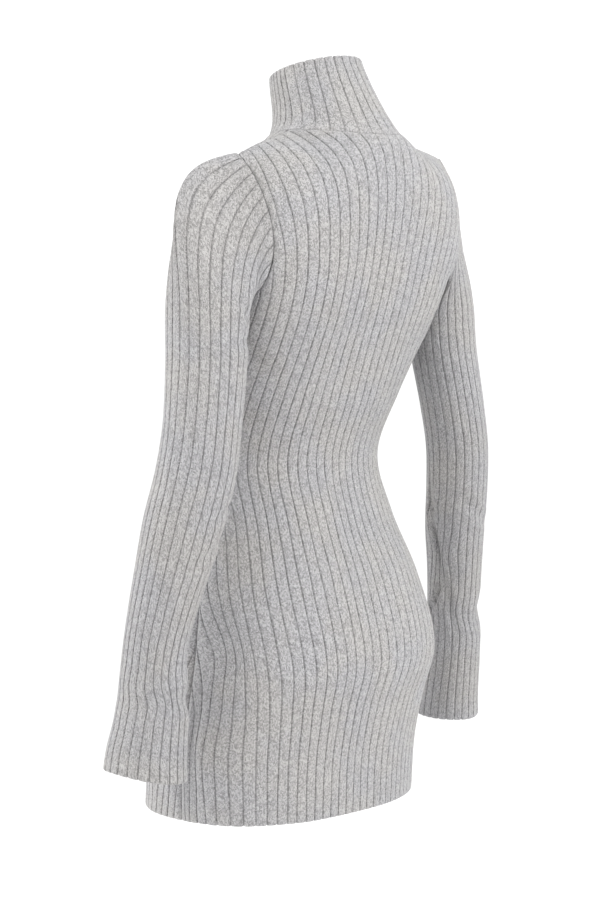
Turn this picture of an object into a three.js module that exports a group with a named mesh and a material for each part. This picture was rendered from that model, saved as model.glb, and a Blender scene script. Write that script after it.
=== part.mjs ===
// Ribbed knit sweater dress in its worn pose, with no wearer in it.
// Millimetres, +Z up. The wearer would face -Y, and +X is the wearer's left.
// The origin is in the middle of the neck opening, 4 mm above the sides of its seam,
// where the dress is held.
import * as THREE from 'three';

// The knit wall: a plain inside, a groove line and ribs raised from it.
const GROOVE_WALL = 1.5;
const RIB_RELIEF = 1.4;
const SEAM_GAP = 0.3;
const NECK_SEAM_GAP = 0.4;

// Heights of the hem and of the underarm, and the seam corners.
const HEM = -770;
const UNDERARM = -190;
const NECK_HALF_WIDTH = 72;
const NECK_BACK_DEPTH = 80;
const NECK_FRONT_DEPTH = 66;
const NECK_SIDE_UP = -4;
const NECK_FRONT_TILT = 0.08;
const NECK_FRONT_DIP = 8;
const NECK_BACK_DIP = 5;
const SHOULDER_TIP = { across: 169, back: 17.5, up: -31 };

// Rows of the solid's grid along each piece.
const SKIRT_ROWS = 14;
const ARMHOLE_ROWS = 12;
const ARMHOLE_EASE = 0.45;
const COLLAR_ROWS = 5;

// Horizontal sections of the body from the underarm down to the hem.
// ribsBack and ribsFront count the ribs from the centre line to the side seam.
const BODY_SECTIONS = [
  { up: -190, half: 155, centre: 0, back: 76, front: 130, power: 3.0, ribsBack: 15.5, ribsFront: 17.5 },
  { up: -235, half: 150, centre: -25, back: 82, front: 129, power: 2.75, ribsBack: 15.5, ribsFront: 17.5 },
  { up: -300, half: 135, centre: -54, back: 89, front: 104, power: 2.45, ribsBack: 14.5, ribsFront: 15 },
  { up: -371, half: 124, centre: -76, back: 87, front: 84, power: 2.35, ribsBack: 14.2, ribsFront: 13.8 },
  { up: -440, half: 137, centre: -66, back: 92.5, front: 94, power: 2.35, ribsBack: 15.3, ribsFront: 15 },
  { up: -510, half: 158, centre: -54, back: 110, front: 107, power: 2.35, ribsBack: 15.9, ribsFront: 16 },
  { up: -591, half: 173, centre: -49, back: 125, front: 116, power: 2.4, ribsBack: 17.6, ribsFront: 17.4 },
  { up: -650, half: 173, centre: -60, back: 119.5, front: 119, power: 2.4, ribsBack: 19, ribsFront: 19 },
  { up: -705, half: 171, centre: -70.5, back: 118, front: 122, power: 2.4, ribsBack: 19.8, ribsFront: 20 },
  { up: -770, half: 167.5, centre: -74.5, back: 118, front: 127.5, power: 2.42, ribsBack: 20, ribsFront: 21 },
];

// The two body panels. Each leave and arrive value is a direction with its strength:
// of the centre line from the underarm level to the neck, and of the armhole edge
// from the underarm to the shoulder tip. shoulderTurn sets how late the rows turn
// into the top edge. capFold is the share of the armhole where the sleeve still folds
// under the arm, capFullness its spare cloth and capLean the slant of its ribs.
const BACK = {
  name: 'back_panel', sign: 1, depth: 'back', ribs: 'ribsBack',
  columnsHalf: 20, topRibs: 12, neckRibs: 6, neckDepth: NECK_BACK_DEPTH,
  centreLeave: [0, 35, 210], centreArrive: [0, -90, 105],
  armholeLeave: [-5, 290, 60], armholeArrive: [30, -95, 95],
  shoulderTurn: 7, capFold: 0.45, capFullness: -0.3, capLean: 1.7,
};
const FRONT = {
  name: 'front_panel', sign: -1, depth: 'front', ribs: 'ribsFront',
  columnsHalf: 21, topRibs: 15, neckRibs: 9, neckDepth: NECK_FRONT_DEPTH,
  centreLeave: [0, 75, 150], centreArrive: [0, 15, 150],
  armholeLeave: [-25, -190, 60], armholeArrive: [40, 80, 95],
  shoulderTurn: 7, capFold: 0.95, capFullness: 0.9, capLean: 0.7,
};
const TOP_POWER = 2.6;
const TOP_ARCH_FOOT = 60;
const PITCH_REACH = 0.3;
const PITCH_STEP = 0.03;

// Level sections of the left sleeve, from below the shoulder cap to the flared cuff.
// long and short are half widths, and turn is the long axis seen from above.
const SLEEVE_SECTIONS = [
  { up: -215, across: 199, back: -1.5, long: 44.5, short: 36.5, turn: 115 },
  { up: -255, across: 201.5, back: 0, long: 44, short: 36.5, turn: 115 },
  { up: -320, across: 213, back: 4.5, long: 42.5, short: 35, turn: 115 },
  { up: -370, across: 223, back: 4.6, long: 43.5, short: 34, turn: 115 },
  { up: -420, across: 232.5, back: -3, long: 43.8, short: 33.7, turn: 115 },
  { up: -470, across: 240, back: -12, long: 41, short: 33, turn: 115 },
  { up: -520, across: 250, back: -20, long: 37, short: 30.5, turn: 115 },
  { up: -560, across: 256, back: -25.6, long: 34.5, short: 29.5, turn: 115 },
  { up: -600, across: 258, back: -27, long: 36.6, short: 30, turn: 115 },
  { up: -640, across: 258, back: -30, long: 39.5, short: 31.5, turn: 115 },
  { up: -680, across: 259, back: -36, long: 43.5, short: 33, turn: 115 },
  { up: -704, across: 259, back: -38, long: 46, short: 34.5, turn: 115 },
];
const SLEEVE_RING_HEIGHTS = [
  -215, -255, -300, -345, -390, -435, -480, -520, -560, -600, -640, -675, -704,
];
const CAP_STEPS = [0.15, 0.32, 0.52, 0.75];
const CAP_FIRST_STEP = 5;
// How strongly the cap leaves the armhole and arrives at the arm, how much it rises
// over the shoulder tip, how many degrees it turns forward there, and how fast the
// slant of its ribs fades towards the tip.
const CAP_LEAVE = { underarm: 0.7, shoulder: 1.4 };
const CAP_ARRIVE = { underarm: 1.0, shoulder: 1.65 };
const CAP_LIFT = 0.1;
const CAP_FORWARD = 30;
const CAP_LEAN_POWER = 0.8;

// The standing collar leans forward and narrows to its rim.
const COLLAR_RIM = { radius: 50.5, back: -24, up: 66, tilt: 0.25 };
const COLLAR_LEAVE = 66;
const COLLAR_ARRIVE = 70;

const KNIT_GREY = 0xb9b7b7;
const UP = new THREE.Vector3(0, 0, 1);

// Reads a table with named columns at any height, along a smooth curve.
function readSection(table, up) {
  let k = 0;
  while (k < table.length - 2 && up < table[k + 1].up) {
    k += 1;
  }
  const rows = [table[Math.max(k - 1, 0)], table[k], table[k + 1], table[Math.min(k + 2, table.length - 1)]];
  const span = rows[2].up - rows[1].up;
  const t = (up - rows[1].up) / span;
  const value = {};
  for (const key of Object.keys(rows[1])) {
    const slopeIn = (rows[2][key] - rows[0][key]) / (rows[2].up - rows[0].up || 1) * span;
    const slopeOut = (rows[3][key] - rows[1][key]) / (rows[3].up - rows[1].up || 1) * span;
    value[key] = blendCurve(rows[1][key], slopeIn, rows[2][key], slopeOut, t);
  }
  return value;
}

function blendCurve(from, leave, to, arrive, t) {
  const t2 = t * t;
  const t3 = t2 * t;
  return (2 * t3 - 3 * t2 + 1) * from + (t3 - 2 * t2 + t) * leave
    + (3 * t2 - 2 * t3) * to + (t3 - t2) * arrive;
}

function blendPoint(from, leave, to, arrive, t) {
  return new THREE.Vector3(
    blendCurve(from.x, leave.x, to.x, arrive.x, t),
    blendCurve(from.y, leave.y, to.y, arrive.y, t),
    blendCurve(from.z, leave.z, to.z, arrive.z, t),
  );
}

function vector(list) {
  return new THREE.Vector3(list[0], list[1], list[2]);
}

function smoothStep(low, high, value) {
  const t = Math.min(Math.max((value - low) / (high - low), 0), 1);
  return t * t * (3 - 2 * t);
}

const shoulderTip = new THREE.Vector3(SHOULDER_TIP.across, SHOULDER_TIP.back, SHOULDER_TIP.up);
const neckPoint = new THREE.Vector3(NECK_HALF_WIDTH, 0, NECK_SIDE_UP);

// A point of the neck seam: turn 0 is at the shoulder seam, 1 at the centre line.
function neckSeam(panel, turn) {
  const angle = turn * Math.PI / 2;
  const across = NECK_HALF_WIDTH * Math.cos(angle);
  const back = panel.sign * panel.neckDepth * Math.sin(angle);
  const frontDip = NECK_FRONT_DIP * Math.max(-back / NECK_FRONT_DEPTH, 0) ** 4;
  const backDip = NECK_BACK_DIP * Math.max(back / NECK_BACK_DEPTH, 0) ** 2;
  const up = NECK_SIDE_UP + NECK_FRONT_TILT * Math.min(back, 0) - frontDip - backDip;
  return new THREE.Vector3(across, back, up);
}

// A point of a panel's top edge: share 0 is the centre line and 1 the shoulder tip.
function topEdge(panel, share) {
  const rib = share * panel.topRibs;
  if (rib <= panel.neckRibs) {
    return neckSeam(panel, 1 - rib / panel.neckRibs);
  }
  const along = (rib - panel.neckRibs) / (panel.topRibs - panel.neckRibs);
  return neckPoint.clone().lerp(shoulderTip, along);
}

// One cross row of a panel, from the centre line to its edge, as an arch.
function archRow(panel, level) {
  if (level <= 1) {
    const section = readSection(BODY_SECTIONS, HEM + (UNDERARM - HEM) * level);
    return {
      edge: new THREE.Vector3(section.half, section.centre, section.up),
      centre: new THREE.Vector3(0, section.centre + panel.sign * section[panel.depth], section.up),
      stretch: 1, power: section.power, ribs: section[panel.ribs], rise: 0,
    };
  }
  const t = level - 1;
  const low = readSection(BODY_SECTIONS, UNDERARM);
  const underarm = new THREE.Vector3(low.half, low.centre, low.up);
  const lowCentre = new THREE.Vector3(0, low.centre + panel.sign * low[panel.depth], low.up);
  const neck = neckSeam(panel, 1);
  const edge = blendPoint(underarm, vector(panel.armholeLeave), shoulderTip, vector(panel.armholeArrive), t);
  const centre = blendPoint(lowCentre, vector(panel.centreLeave), neck, vector(panel.centreArrive), t);
  const power = low.power + (TOP_POWER - low.power) * t;
  // The armhole cuts the arch short, so the arch reaches past the panel's edge.
  const foot = low.centre - panel.sign * TOP_ARCH_FOOT * smoothStep(0.4, 1, t);
  const cut = Math.max((edge.y - foot) / (centre.y - foot), 0);
  return {
    edge, centre, power,
    stretch: (1 - cut ** power) ** (-1 / power),
    rise: t ** panel.shoulderTurn,
  };
}

// Spaces points evenly along the arch, and returns a reader by share of its length.
function archReader(row) {
  const steps = 160;
  const arch = (x) => Math.max(1 - Math.abs(x / row.stretch) ** row.power, 0) ** (1 / row.power);
  const edgeArch = arch(1);
  const points = [];
  const lengths = [0];
  for (let k = 0; k <= steps; k += 1) {
    const x = Math.sin(k / steps * Math.PI / 2);
    const y = (arch(x) - edgeArch) / (1 - edgeArch);
    points.push([x * row.edge.x, row.edge.y + (row.centre.y - row.edge.y) * y]);
    if (k > 0) {
      const [x0, y0] = points[k - 1];
      lengths.push(lengths[k - 1] + Math.hypot(points[k][0] - x0, points[k][1] - y0));
    }
  }
  const read = (share) => {
    const wanted = share * lengths[steps];
    let k = 1;
    while (k < steps && lengths[k] < wanted) {
      k += 1;
    }
    const t = (wanted - lengths[k - 1]) / (lengths[k] - lengths[k - 1]);
    const up = row.edge.z + (row.centre.z - row.edge.z) * (1 - share * share);
    return new THREE.Vector3(
      points[k - 1][0] + (points[k][0] - points[k - 1][0]) * t,
      points[k - 1][1] + (points[k][1] - points[k - 1][1]) * t,
      up,
    );
  };
  return { read, length: lengths[steps] };
}

// A panel's smooth surface: level 0 is the hem, 1 the underarm and 2 the top edge.
// share runs from the right edge at -1 through the centre line to the left edge at 1.
function panelSurface(panel) {
  const readers = new Map();
  const readerAt = (level) => {
    if (!readers.has(level)) {
      const row = archRow(panel, level);
      readers.set(level, { row, ...archReader(row) });
    }
    return readers.get(level);
  };
  const top = readerAt(2);
  const pitchAt = (level) => readerAt(level).length / readerAt(level).row.ribs;
  const topPitch = top.length / panel.topRibs;
  const pitchSlope = (pitchAt(1) - pitchAt(1 - PITCH_STEP)) / PITCH_STEP * PITCH_REACH;
  return {
    // Over the underarm the ribs keep an even pitch, so the armhole seam cuts across them.
    ribsAt: (level) => {
      if (level <= 1) {
        return readerAt(level).row.ribs;
      }
      const pitch = blendCurve(pitchAt(1), pitchSlope, topPitch, 0, level - 1);
      return readerAt(level).length / pitch;
    },
    point: (share, level) => {
      const { row, read } = readerAt(level);
      const half = Math.abs(share);
      const point = read(half);
      if (row.rise > 0) {
        point.addScaledVector(topEdge(panel, half).sub(top.read(half)), row.rise);
      }
      point.x *= Math.sign(share) || 1;
      return point;
    },
  };
}

function surfaceNormal(panel, surface, share, level) {
  const step = 0.004;
  const left = surface.point(Math.min(share + step, 1), level);
  const right = surface.point(Math.max(share - step, -1), level);
  const above = surface.point(share, Math.min(level + step, 2));
  const below = surface.point(share, Math.max(level - step, 0));
  const normal = left.sub(right).cross(above.sub(below)).normalize();
  return normal.multiplyScalar(-panel.sign);
}

// Directions that two pieces share where they are sewn together.
function sideNormal(side, up) {
  const above = readSection(BODY_SECTIONS, Math.min(up + 1, UNDERARM));
  const below = readSection(BODY_SECTIONS, Math.max(up - 1, HEM));
  const slope = (above.half - below.half) / (above.up - below.up);
  return new THREE.Vector3(side, 0, -slope).normalize();
}

function shoulderNormal(side) {
  const seam = shoulderTip.clone().sub(neckPoint).normalize();
  const normal = new THREE.Vector3(0, 0, 1).addScaledVector(seam, -seam.z).normalize();
  normal.x *= side;
  return normal;
}

function neckNormal(point) {
  const radial = new THREE.Vector3(point.x / NECK_HALF_WIDTH, point.y / NECK_BACK_DEPTH, 0).normalize();
  const upward = 0.9 - 0.55 * smoothStep(-0.1, 1, -radial.y);
  return radial.add(new THREE.Vector3(0, 0, upward)).normalize();
}

// Builds one closed wall from an outside grid and a coarser inside grid.
function wallGeometry(outside, inside, step, loop, facing) {
  const positions = [];
  const index = [];
  const known = new Map();
  const number = (point) => {
    const key = point.toArray().map((value) => Math.round(value * 1000)).join(',');
    if (!known.has(key)) {
      known.set(key, positions.length / 3);
      positions.push(point.x, point.y, point.z);
    }
    return known.get(key);
  };
  const triangle = (a, b, c) => {
    const corners = [number(a), number(b), number(c)];
    if (new Set(corners).size === 3) {
      index.push(...(facing > 0 ? corners : corners.reverse()));
    }
  };
  const quad = (a, b, c, d) => {
    triangle(a, b, c);
    triangle(a, c, d);
  };
  const last = outside.length - 1;
  const columns = outside[0].length - (loop ? 0 : 1);
  const near = columns / step;
  const at = (row, k) => row[k % row.length];
  for (let r = 0; r < last; r += 1) {
    for (let c = 0; c < columns; c += 1) {
      quad(at(outside[r], c), at(outside[r], c + 1), at(outside[r + 1], c + 1), at(outside[r + 1], c));
    }
    for (let k = 0; k < near; k += 1) {
      quad(at(inside[r], k + 1), at(inside[r], k), at(inside[r + 1], k), at(inside[r + 1], k + 1));
    }
    if (!loop) {
      quad(inside[r][0], outside[r][0], outside[r + 1][0], inside[r + 1][0]);
      quad(outside[r][columns], inside[r][near], inside[r + 1][near], outside[r + 1][columns]);
    }
  }
  for (let k = 0; k < near; k += 1) {
    for (let c = k * step; c < (k + 1) * step; c += 1) {
      triangle(at(inside[0], k), at(outside[0], c + 1), at(outside[0], c));
      triangle(at(inside[last], k), at(outside[last], c), at(outside[last], c + 1));
    }
    triangle(at(inside[0], k), at(inside[0], k + 1), at(outside[0], (k + 1) * step));
    triangle(at(inside[last], k), at(outside[last], (k + 1) * step), at(inside[last], k + 1));
  }
  const geometry = new THREE.BufferGeometry();
  geometry.setAttribute('position', new THREE.Float32BufferAttribute(positions, 3));
  geometry.setIndex(index);
  geometry.computeVertexNormals();
  return geometry;
}

function knitMesh(name, geometry) {
  const knit = new THREE.MeshStandardMaterial({ color: KNIT_GREY, roughness: 0.95, metalness: 0 });
  const mesh = new THREE.Mesh(geometry, knit);
  mesh.name = name;
  return mesh;
}

// Rows lie closer together towards the shoulder, as the ribs of the sleeve do there.
function armholeLevel(k) {
  const share = k / ARMHOLE_ROWS;
  return 1 + share * (1 + ARMHOLE_EASE * (1 - share));
}

function panelLevels() {
  const levels = [];
  for (let k = 0; k < SKIRT_ROWS; k += 1) {
    levels.push(k / SKIRT_ROWS);
  }
  for (let k = 0; k <= ARMHOLE_ROWS; k += 1) {
    levels.push(armholeLevel(k));
  }
  return levels;
}

// The base point and direction of one grid column of a panel.
function panelStation(panel, surface, rib, level) {
  const ribs = surface.ribsAt(level);
  const share = Math.min(Math.max(rib / ribs, -1), 1);
  const trimmed = Math.abs(rib) >= ribs;
  const side = Math.sign(share) || 1;
  const point = surface.point(share, level);
  let normal = surfaceNormal(panel, surface, share, level);
  const onShoulder = level === 2 && Math.abs(rib) >= panel.neckRibs;
  if (level <= 1 && trimmed) {
    normal = sideNormal(side, point.z);
  } else if (level === 2) {
    normal = onShoulder ? shoulderNormal(side) : neckNormal(point);
  }
  if (level === 2 && Math.abs(rib) === panel.neckRibs) {
    normal = shoulderNormal(side).add(neckNormal(point)).normalize();
  }
  const gapped = point.clone();
  if ((level <= 1 && trimmed) || onShoulder) {
    gapped.y += panel.sign * SEAM_GAP / 2;
  }
  return { point, gapped, normal, trimmed };
}

function buildPanel(panel) {
  const surface = panelSurface(panel);
  const inner = 2;
  const outside = [];
  const inside = [];
  for (const level of panelLevels()) {
    const outsideRow = [];
    const insideRow = [];
    for (let c = 0; c <= panel.columnsHalf * 4; c += 1) {
      const rib = c / 2 - panel.columnsHalf;
      const station = panelStation(panel, surface, rib, level);
      const relief = c % 2 === 1 && !station.trimmed ? RIB_RELIEF : 0;
      outsideRow.push(station.gapped.clone().addScaledVector(station.normal, relief));
      if (c % inner === 0) {
        insideRow.push(station.gapped.clone().addScaledVector(station.normal, -GROOVE_WALL));
      }
    }
    outside.push(outsideRow);
    inside.push(insideRow);
  }
  return knitMesh(panel.name, wallGeometry(outside, inside, inner, false, -panel.sign));
}

// The armhole seam on the left, from the underarm up the back and down the front.
function armholeStations() {
  const stations = [];
  for (const panel of [BACK, FRONT]) {
    const surface = panelSurface(panel);
    const run = [];
    for (let k = 0; k <= ARMHOLE_ROWS; k += 1) {
      const level = armholeLevel(k);
      const rise = level - 1;
      const { point, normal } = panelStation(panel, surface, panel.columnsHalf, level);
      const fold = Math.PI / 2 * (1 - smoothStep(0.02, panel.capFold, rise));
      const fullness = panel.capFullness * Math.sin(Math.PI * rise);
      const lean = panel.capLean * Math.max(1 - rise, 0) ** CAP_LEAN_POWER;
      run.push({ point, normal, rise, fold, fullness, lean });
    }
    stations.push(...(panel === BACK ? run.slice(0, -1) : run.reverse().slice(0, -1)));
  }
  return stations;
}

// Adds the direction in which the sleeve leaves each armhole station.
function sleeveRoots() {
  const seam = armholeStations();
  const roots = seam.map((station, k) => {
    const before = seam[(k + seam.length - 1) % seam.length].point;
    const after = seam[(k + 1) % seam.length].point;
    const tangent = after.clone().sub(before).normalize();
    const across = station.normal.clone().cross(tangent).normalize();
    const { fold } = station;
    const lift = Math.sin(fold) + CAP_LIFT * station.rise;
    const leave = across.clone().multiplyScalar(Math.cos(fold));
    leave.addScaledVector(station.normal, lift);
    leave.addScaledVector(tangent, -tangent.z * station.lean).normalize();
    leave.applyAxisAngle(UP, -CAP_FORWARD * Math.PI / 180 * station.rise ** 2);
    const normal = station.normal.clone().multiplyScalar(Math.cos(fold));
    normal.addScaledVector(across, -Math.sin(fold));
    const point = station.point.clone().addScaledVector(across, SEAM_GAP);
    return { point, leave, normal, rise: station.rise, fullness: station.fullness };
  });
  const stations = [];
  for (let k = 0; k < roots.length; k += 1) {
    const next = roots[(k + 1) % roots.length];
    stations.push(roots[k]);
    stations.push({
      point: roots[k].point.clone().lerp(next.point, 0.5),
      leave: roots[k].leave.clone().add(next.leave).normalize(),
      normal: roots[k].normal.clone().add(next.normal).normalize(),
      rise: (roots[k].rise + next.rise) / 2,
      fullness: (roots[k].fullness + next.fullness) / 2,
    });
  }
  return stations;
}

// A level section of the sleeve: turn 0 faces the body, a quarter is at the back.
function sleeveRing(up, columns) {
  const section = readSection(SLEEVE_SECTIONS, up);
  const turn = section.turn * Math.PI / 180;
  const ring = [];
  for (let c = 0; c < columns; c += 1) {
    const angle = Math.PI - c / columns * 2 * Math.PI;
    const local = angle - turn;
    const long = section.long * Math.cos(local);
    const short = section.short * Math.sin(local);
    ring.push(new THREE.Vector3(
      section.across + long * Math.cos(turn) - short * Math.sin(turn),
      section.back + long * Math.sin(turn) + short * Math.cos(turn),
      up,
    ));
  }
  return ring;
}

function sleeveRows() {
  const roots = sleeveRoots();
  const columns = roots.length;
  const armRing = sleeveRing(SLEEVE_RING_HEIGHTS[0], columns);
  const belowRing = sleeveRing(SLEEVE_RING_HEIGHTS[0] - 10, columns);
  const rows = [roots.map((root) => root.point)];
  const first = roots.map((root) => root.point.clone().addScaledVector(root.leave, CAP_FIRST_STEP));
  rows.push(first);
  for (const t of CAP_STEPS) {
    rows.push(roots.map((root, c) => {
      const reach = armRing[c].distanceTo(first[c]);
      const leaving = CAP_LEAVE.underarm + (CAP_LEAVE.shoulder - CAP_LEAVE.underarm) * root.rise;
      const arriving = CAP_ARRIVE.underarm + (CAP_ARRIVE.shoulder - CAP_ARRIVE.underarm) * root.rise;
      const leave = root.leave.clone().multiplyScalar((leaving + root.fullness) * reach);
      const arrive = belowRing[c].clone().sub(armRing[c]).normalize();
      arrive.multiplyScalar((arriving + root.fullness) * reach);
      return blendPoint(first[c], leave, armRing[c], arrive, t);
    }));
  }
  for (const up of SLEEVE_RING_HEIGHTS) {
    rows.push(sleeveRing(up, columns));
  }
  return { roots, rows };
}

// Outward directions of a tube given as rows of points around it.
function tubeNormals(rows, turn) {
  return rows.map((row, r) => row.map((point, c) => {
    const next = row[(c + 1) % row.length];
    const before = row[(c + row.length - 1) % row.length];
    const above = rows[Math.min(r + 1, rows.length - 1)][c];
    const below = rows[Math.max(r - 1, 0)][c];
    const around = next.clone().sub(before);
    return around.cross(above.clone().sub(below)).normalize().multiplyScalar(turn);
  }));
}

function mirrored(row) {
  return row.map((point) => new THREE.Vector3(-point.x, point.y, point.z));
}

function buildSleeve(name, side) {
  const { roots, rows } = sleeveRows();
  const normals = tubeNormals(rows, 1);
  normals[0] = roots.map((root) => root.normal);
  normals[1] = normals[1].map((normal, c) => normal.clone().add(roots[c].normal).normalize());
  const inner = 2;
  const outside = rows.map((row, r) => row.map((point, c) => {
    const share = Math.min(r / 2, 1);
    const relief = c % 2 === 1 ? RIB_RELIEF * share : 0;
    return point.clone().addScaledVector(normals[r][c], relief);
  }));
  const inside = rows.map((row, r) => row.filter((point, c) => c % inner === 0).map((point, k) => (
    point.clone().addScaledVector(normals[r][k * inner], -GROOVE_WALL)
  )));
  if (side > 0) {
    return knitMesh(name, wallGeometry(outside, inside, inner, true, 1));
  }
  return knitMesh(name, wallGeometry(outside.map(mirrored), inside.map(mirrored), inner, true, -1));
}

// The neck seam all round, from the left shoulder over the back to the right one
// and back over the front, two columns to each rib.
function neckLoop() {
  const points = [];
  for (let c = 0; c < BACK.neckRibs * 4; c += 1) {
    const rib = BACK.neckRibs - c / 2;
    const point = topEdge(BACK, Math.abs(rib) / BACK.topRibs);
    point.x *= Math.sign(rib) || 1;
    points.push(point);
  }
  for (let c = 0; c < FRONT.neckRibs * 4; c += 1) {
    const rib = c / 2 - FRONT.neckRibs;
    const point = topEdge(FRONT, Math.abs(rib) / FRONT.topRibs);
    point.x *= Math.sign(rib) || 1;
    points.push(point);
  }
  return points;
}

function buildCollar() {
  const seam = neckLoop();
  const seamNormals = seam.map((point) => {
    const normal = neckNormal(point);
    const atShoulder = Math.abs(point.y) < 0.001;
    return atShoulder ? normal.add(shoulderNormal(Math.sign(point.x))).normalize() : normal;
  });
  const rows = [];
  for (let r = 0; r <= COLLAR_ROWS; r += 1) {
    const t = r / COLLAR_ROWS;
    rows.push(seam.map((point, c) => {
      const radial = new THREE.Vector3(point.x, point.y, 0).normalize();
      const normal = seamNormals[c];
      const leave = new THREE.Vector3(0, 0, 1).addScaledVector(normal, -normal.z).normalize();
      const foot = point.clone().addScaledVector(leave, NECK_SEAM_GAP);
      const rim = radial.clone().multiplyScalar(COLLAR_RIM.radius);
      rim.z = COLLAR_RIM.up + COLLAR_RIM.tilt * rim.y;
      rim.y += COLLAR_RIM.back;
      const arrive = rim.clone().sub(foot).normalize().add(new THREE.Vector3(0, 0, 0.6)).normalize();
      leave.multiplyScalar(COLLAR_LEAVE);
      arrive.multiplyScalar(COLLAR_ARRIVE);
      return blendPoint(foot, leave, rim, arrive, t);
    }));
  }
  const normals = tubeNormals(rows, 1);
  normals[0] = seamNormals;
  const inner = 2;
  const outside = rows.map((row, r) => row.map((point, c) => (
    point.clone().addScaledVector(normals[r][c], c % 2 === 1 ? RIB_RELIEF : 0)
  )));
  const inside = rows.map((row, r) => row.filter((point, c) => c % inner === 0).map((point, k) => (
    point.clone().addScaledVector(normals[r][k * inner], -GROOVE_WALL)
  )));
  return knitMesh('collar', wallGeometry(outside, inside, inner, true, 1));
}

const dress = new THREE.Group();
dress.add(buildPanel(BACK));
dress.add(buildPanel(FRONT));
dress.add(buildSleeve('left_sleeve', 1));
dress.add(buildSleeve('right_sleeve', -1));
dress.add(buildCollar());

export default dress;
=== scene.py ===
import math

import bpy
import numpy as np
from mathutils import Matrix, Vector


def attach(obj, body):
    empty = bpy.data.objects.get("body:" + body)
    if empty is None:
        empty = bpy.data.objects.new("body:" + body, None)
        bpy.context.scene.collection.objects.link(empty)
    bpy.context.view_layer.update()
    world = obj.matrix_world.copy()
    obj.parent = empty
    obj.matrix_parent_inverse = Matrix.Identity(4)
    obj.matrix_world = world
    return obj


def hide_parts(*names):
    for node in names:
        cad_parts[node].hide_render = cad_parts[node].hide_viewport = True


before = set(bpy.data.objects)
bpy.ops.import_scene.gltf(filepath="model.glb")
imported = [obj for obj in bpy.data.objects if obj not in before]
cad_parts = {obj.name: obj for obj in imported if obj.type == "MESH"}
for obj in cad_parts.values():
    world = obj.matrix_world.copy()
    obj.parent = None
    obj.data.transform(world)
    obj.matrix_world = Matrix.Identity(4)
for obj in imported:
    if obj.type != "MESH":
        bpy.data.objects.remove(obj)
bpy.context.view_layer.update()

# The knit wall: a plain inside, groove lines and ribs raised between them.
GROOVE_WALL = 0.0015
RIB_RELIEF = 0.0013
GROOVE_DEPTH = 0.0005
SEAM_GAP = 0.0003
SEAM_DIP = 0.0012
SEAM_DIP_REACH = 0.0018
SEAM_FADE = 0.0035
SOFT_FADE = 0.012
LINK_HEIGHT = 0.85
LINK_REACH = (0.001, 0.008)
RIB_PITCH = 0.012

# At a cut edge the wall is rounded over, and the ribs stand a little past the grooves.
EDGE_ROUND = 0.0022
SCALLOP = 0.0017
SCALLOP_FOOT = 0.3
SCALLOP_REACH = 0.004

# How far the ribs stray from their lines, in ribs, and the cloth from its form.
PANEL_STRAY = (0.10, 0.035)
SLEEVE_STRAY = (0.12, 0.035)
PANEL_WAVE = 0.0007
TUBE_WAVE = 0.0006

HEM = -0.770
UNDERARM = -0.190
NECK_HALF_WIDTH = 0.072
NECK_BACK_DEPTH = 0.080
NECK_FRONT_DEPTH = 0.066
NECK_SIDE_UP = -0.004
NECK_FRONT_TILT = 0.08
NECK_FRONT_DIP = 0.008
NECK_BACK_DIP = 0.005
SHOULDER_TIP = np.array([0.169, 0.0175, -0.031])
NECK_POINT = np.array([NECK_HALF_WIDTH, 0.0, NECK_SIDE_UP])
ARMHOLE_EASE = 0.45
TOP_POWER = 2.6
TOP_ARCH_FOOT = 0.060
SHOULDER_TURN = 7
PITCH_REACH = 0.3

# Level sections of the body from the underarm down to the hem.
BODY_NAMES = ("up", "half", "centre", "back", "front", "power", "ribs_back", "ribs_front")
BODY_SECTIONS = (
    (-0.190, 0.155, 0.000, 0.076, 0.130, 3.00, 15.5, 17.5),
    (-0.235, 0.150, -0.025, 0.082, 0.129, 2.75, 15.5, 17.5),
    (-0.300, 0.135, -0.054, 0.089, 0.104, 2.45, 14.5, 15.0),
    (-0.371, 0.124, -0.076, 0.087, 0.084, 2.35, 14.2, 13.8),
    (-0.440, 0.137, -0.066, 0.0925, 0.094, 2.35, 15.3, 15.0),
    (-0.510, 0.158, -0.054, 0.110, 0.107, 2.35, 15.9, 16.0),
    (-0.591, 0.173, -0.049, 0.125, 0.116, 2.40, 17.6, 17.4),
    (-0.650, 0.173, -0.060, 0.1195, 0.119, 2.40, 19.0, 19.0),
    (-0.705, 0.171, -0.0705, 0.118, 0.122, 2.40, 19.8, 20.0),
    (-0.770, 0.1675, -0.0745, 0.118, 0.1275, 2.42, 20.0, 21.0),
)

BACK = {
    "name": "back_panel", "sign": 1, "depth": "back", "ribs": "ribs_back",
    "ribs_half": 20, "top_ribs": 12, "neck_ribs": 6, "neck_depth": NECK_BACK_DEPTH,
    "centre_leave": (0, 0.035, 0.210), "centre_arrive": (0, -0.090, 0.105),
    "armhole_leave": (-0.005, 0.290, 0.060), "armhole_arrive": (0.030, -0.095, 0.095),
    "cap_fold": 0.45, "cap_fullness": -0.3, "cap_lean": 1.7,
}
FRONT = {
    "name": "front_panel", "sign": -1, "depth": "front", "ribs": "ribs_front",
    "ribs_half": 21, "top_ribs": 15, "neck_ribs": 9, "neck_depth": NECK_FRONT_DEPTH,
    "centre_leave": (0, 0.075, 0.150), "centre_arrive": (0, 0.015, 0.150),
    "armhole_leave": (-0.025, -0.190, 0.060), "armhole_arrive": (0.040, 0.080, 0.095),
    "cap_fold": 0.95, "cap_fullness": 0.9, "cap_lean": 0.7,
}

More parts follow.
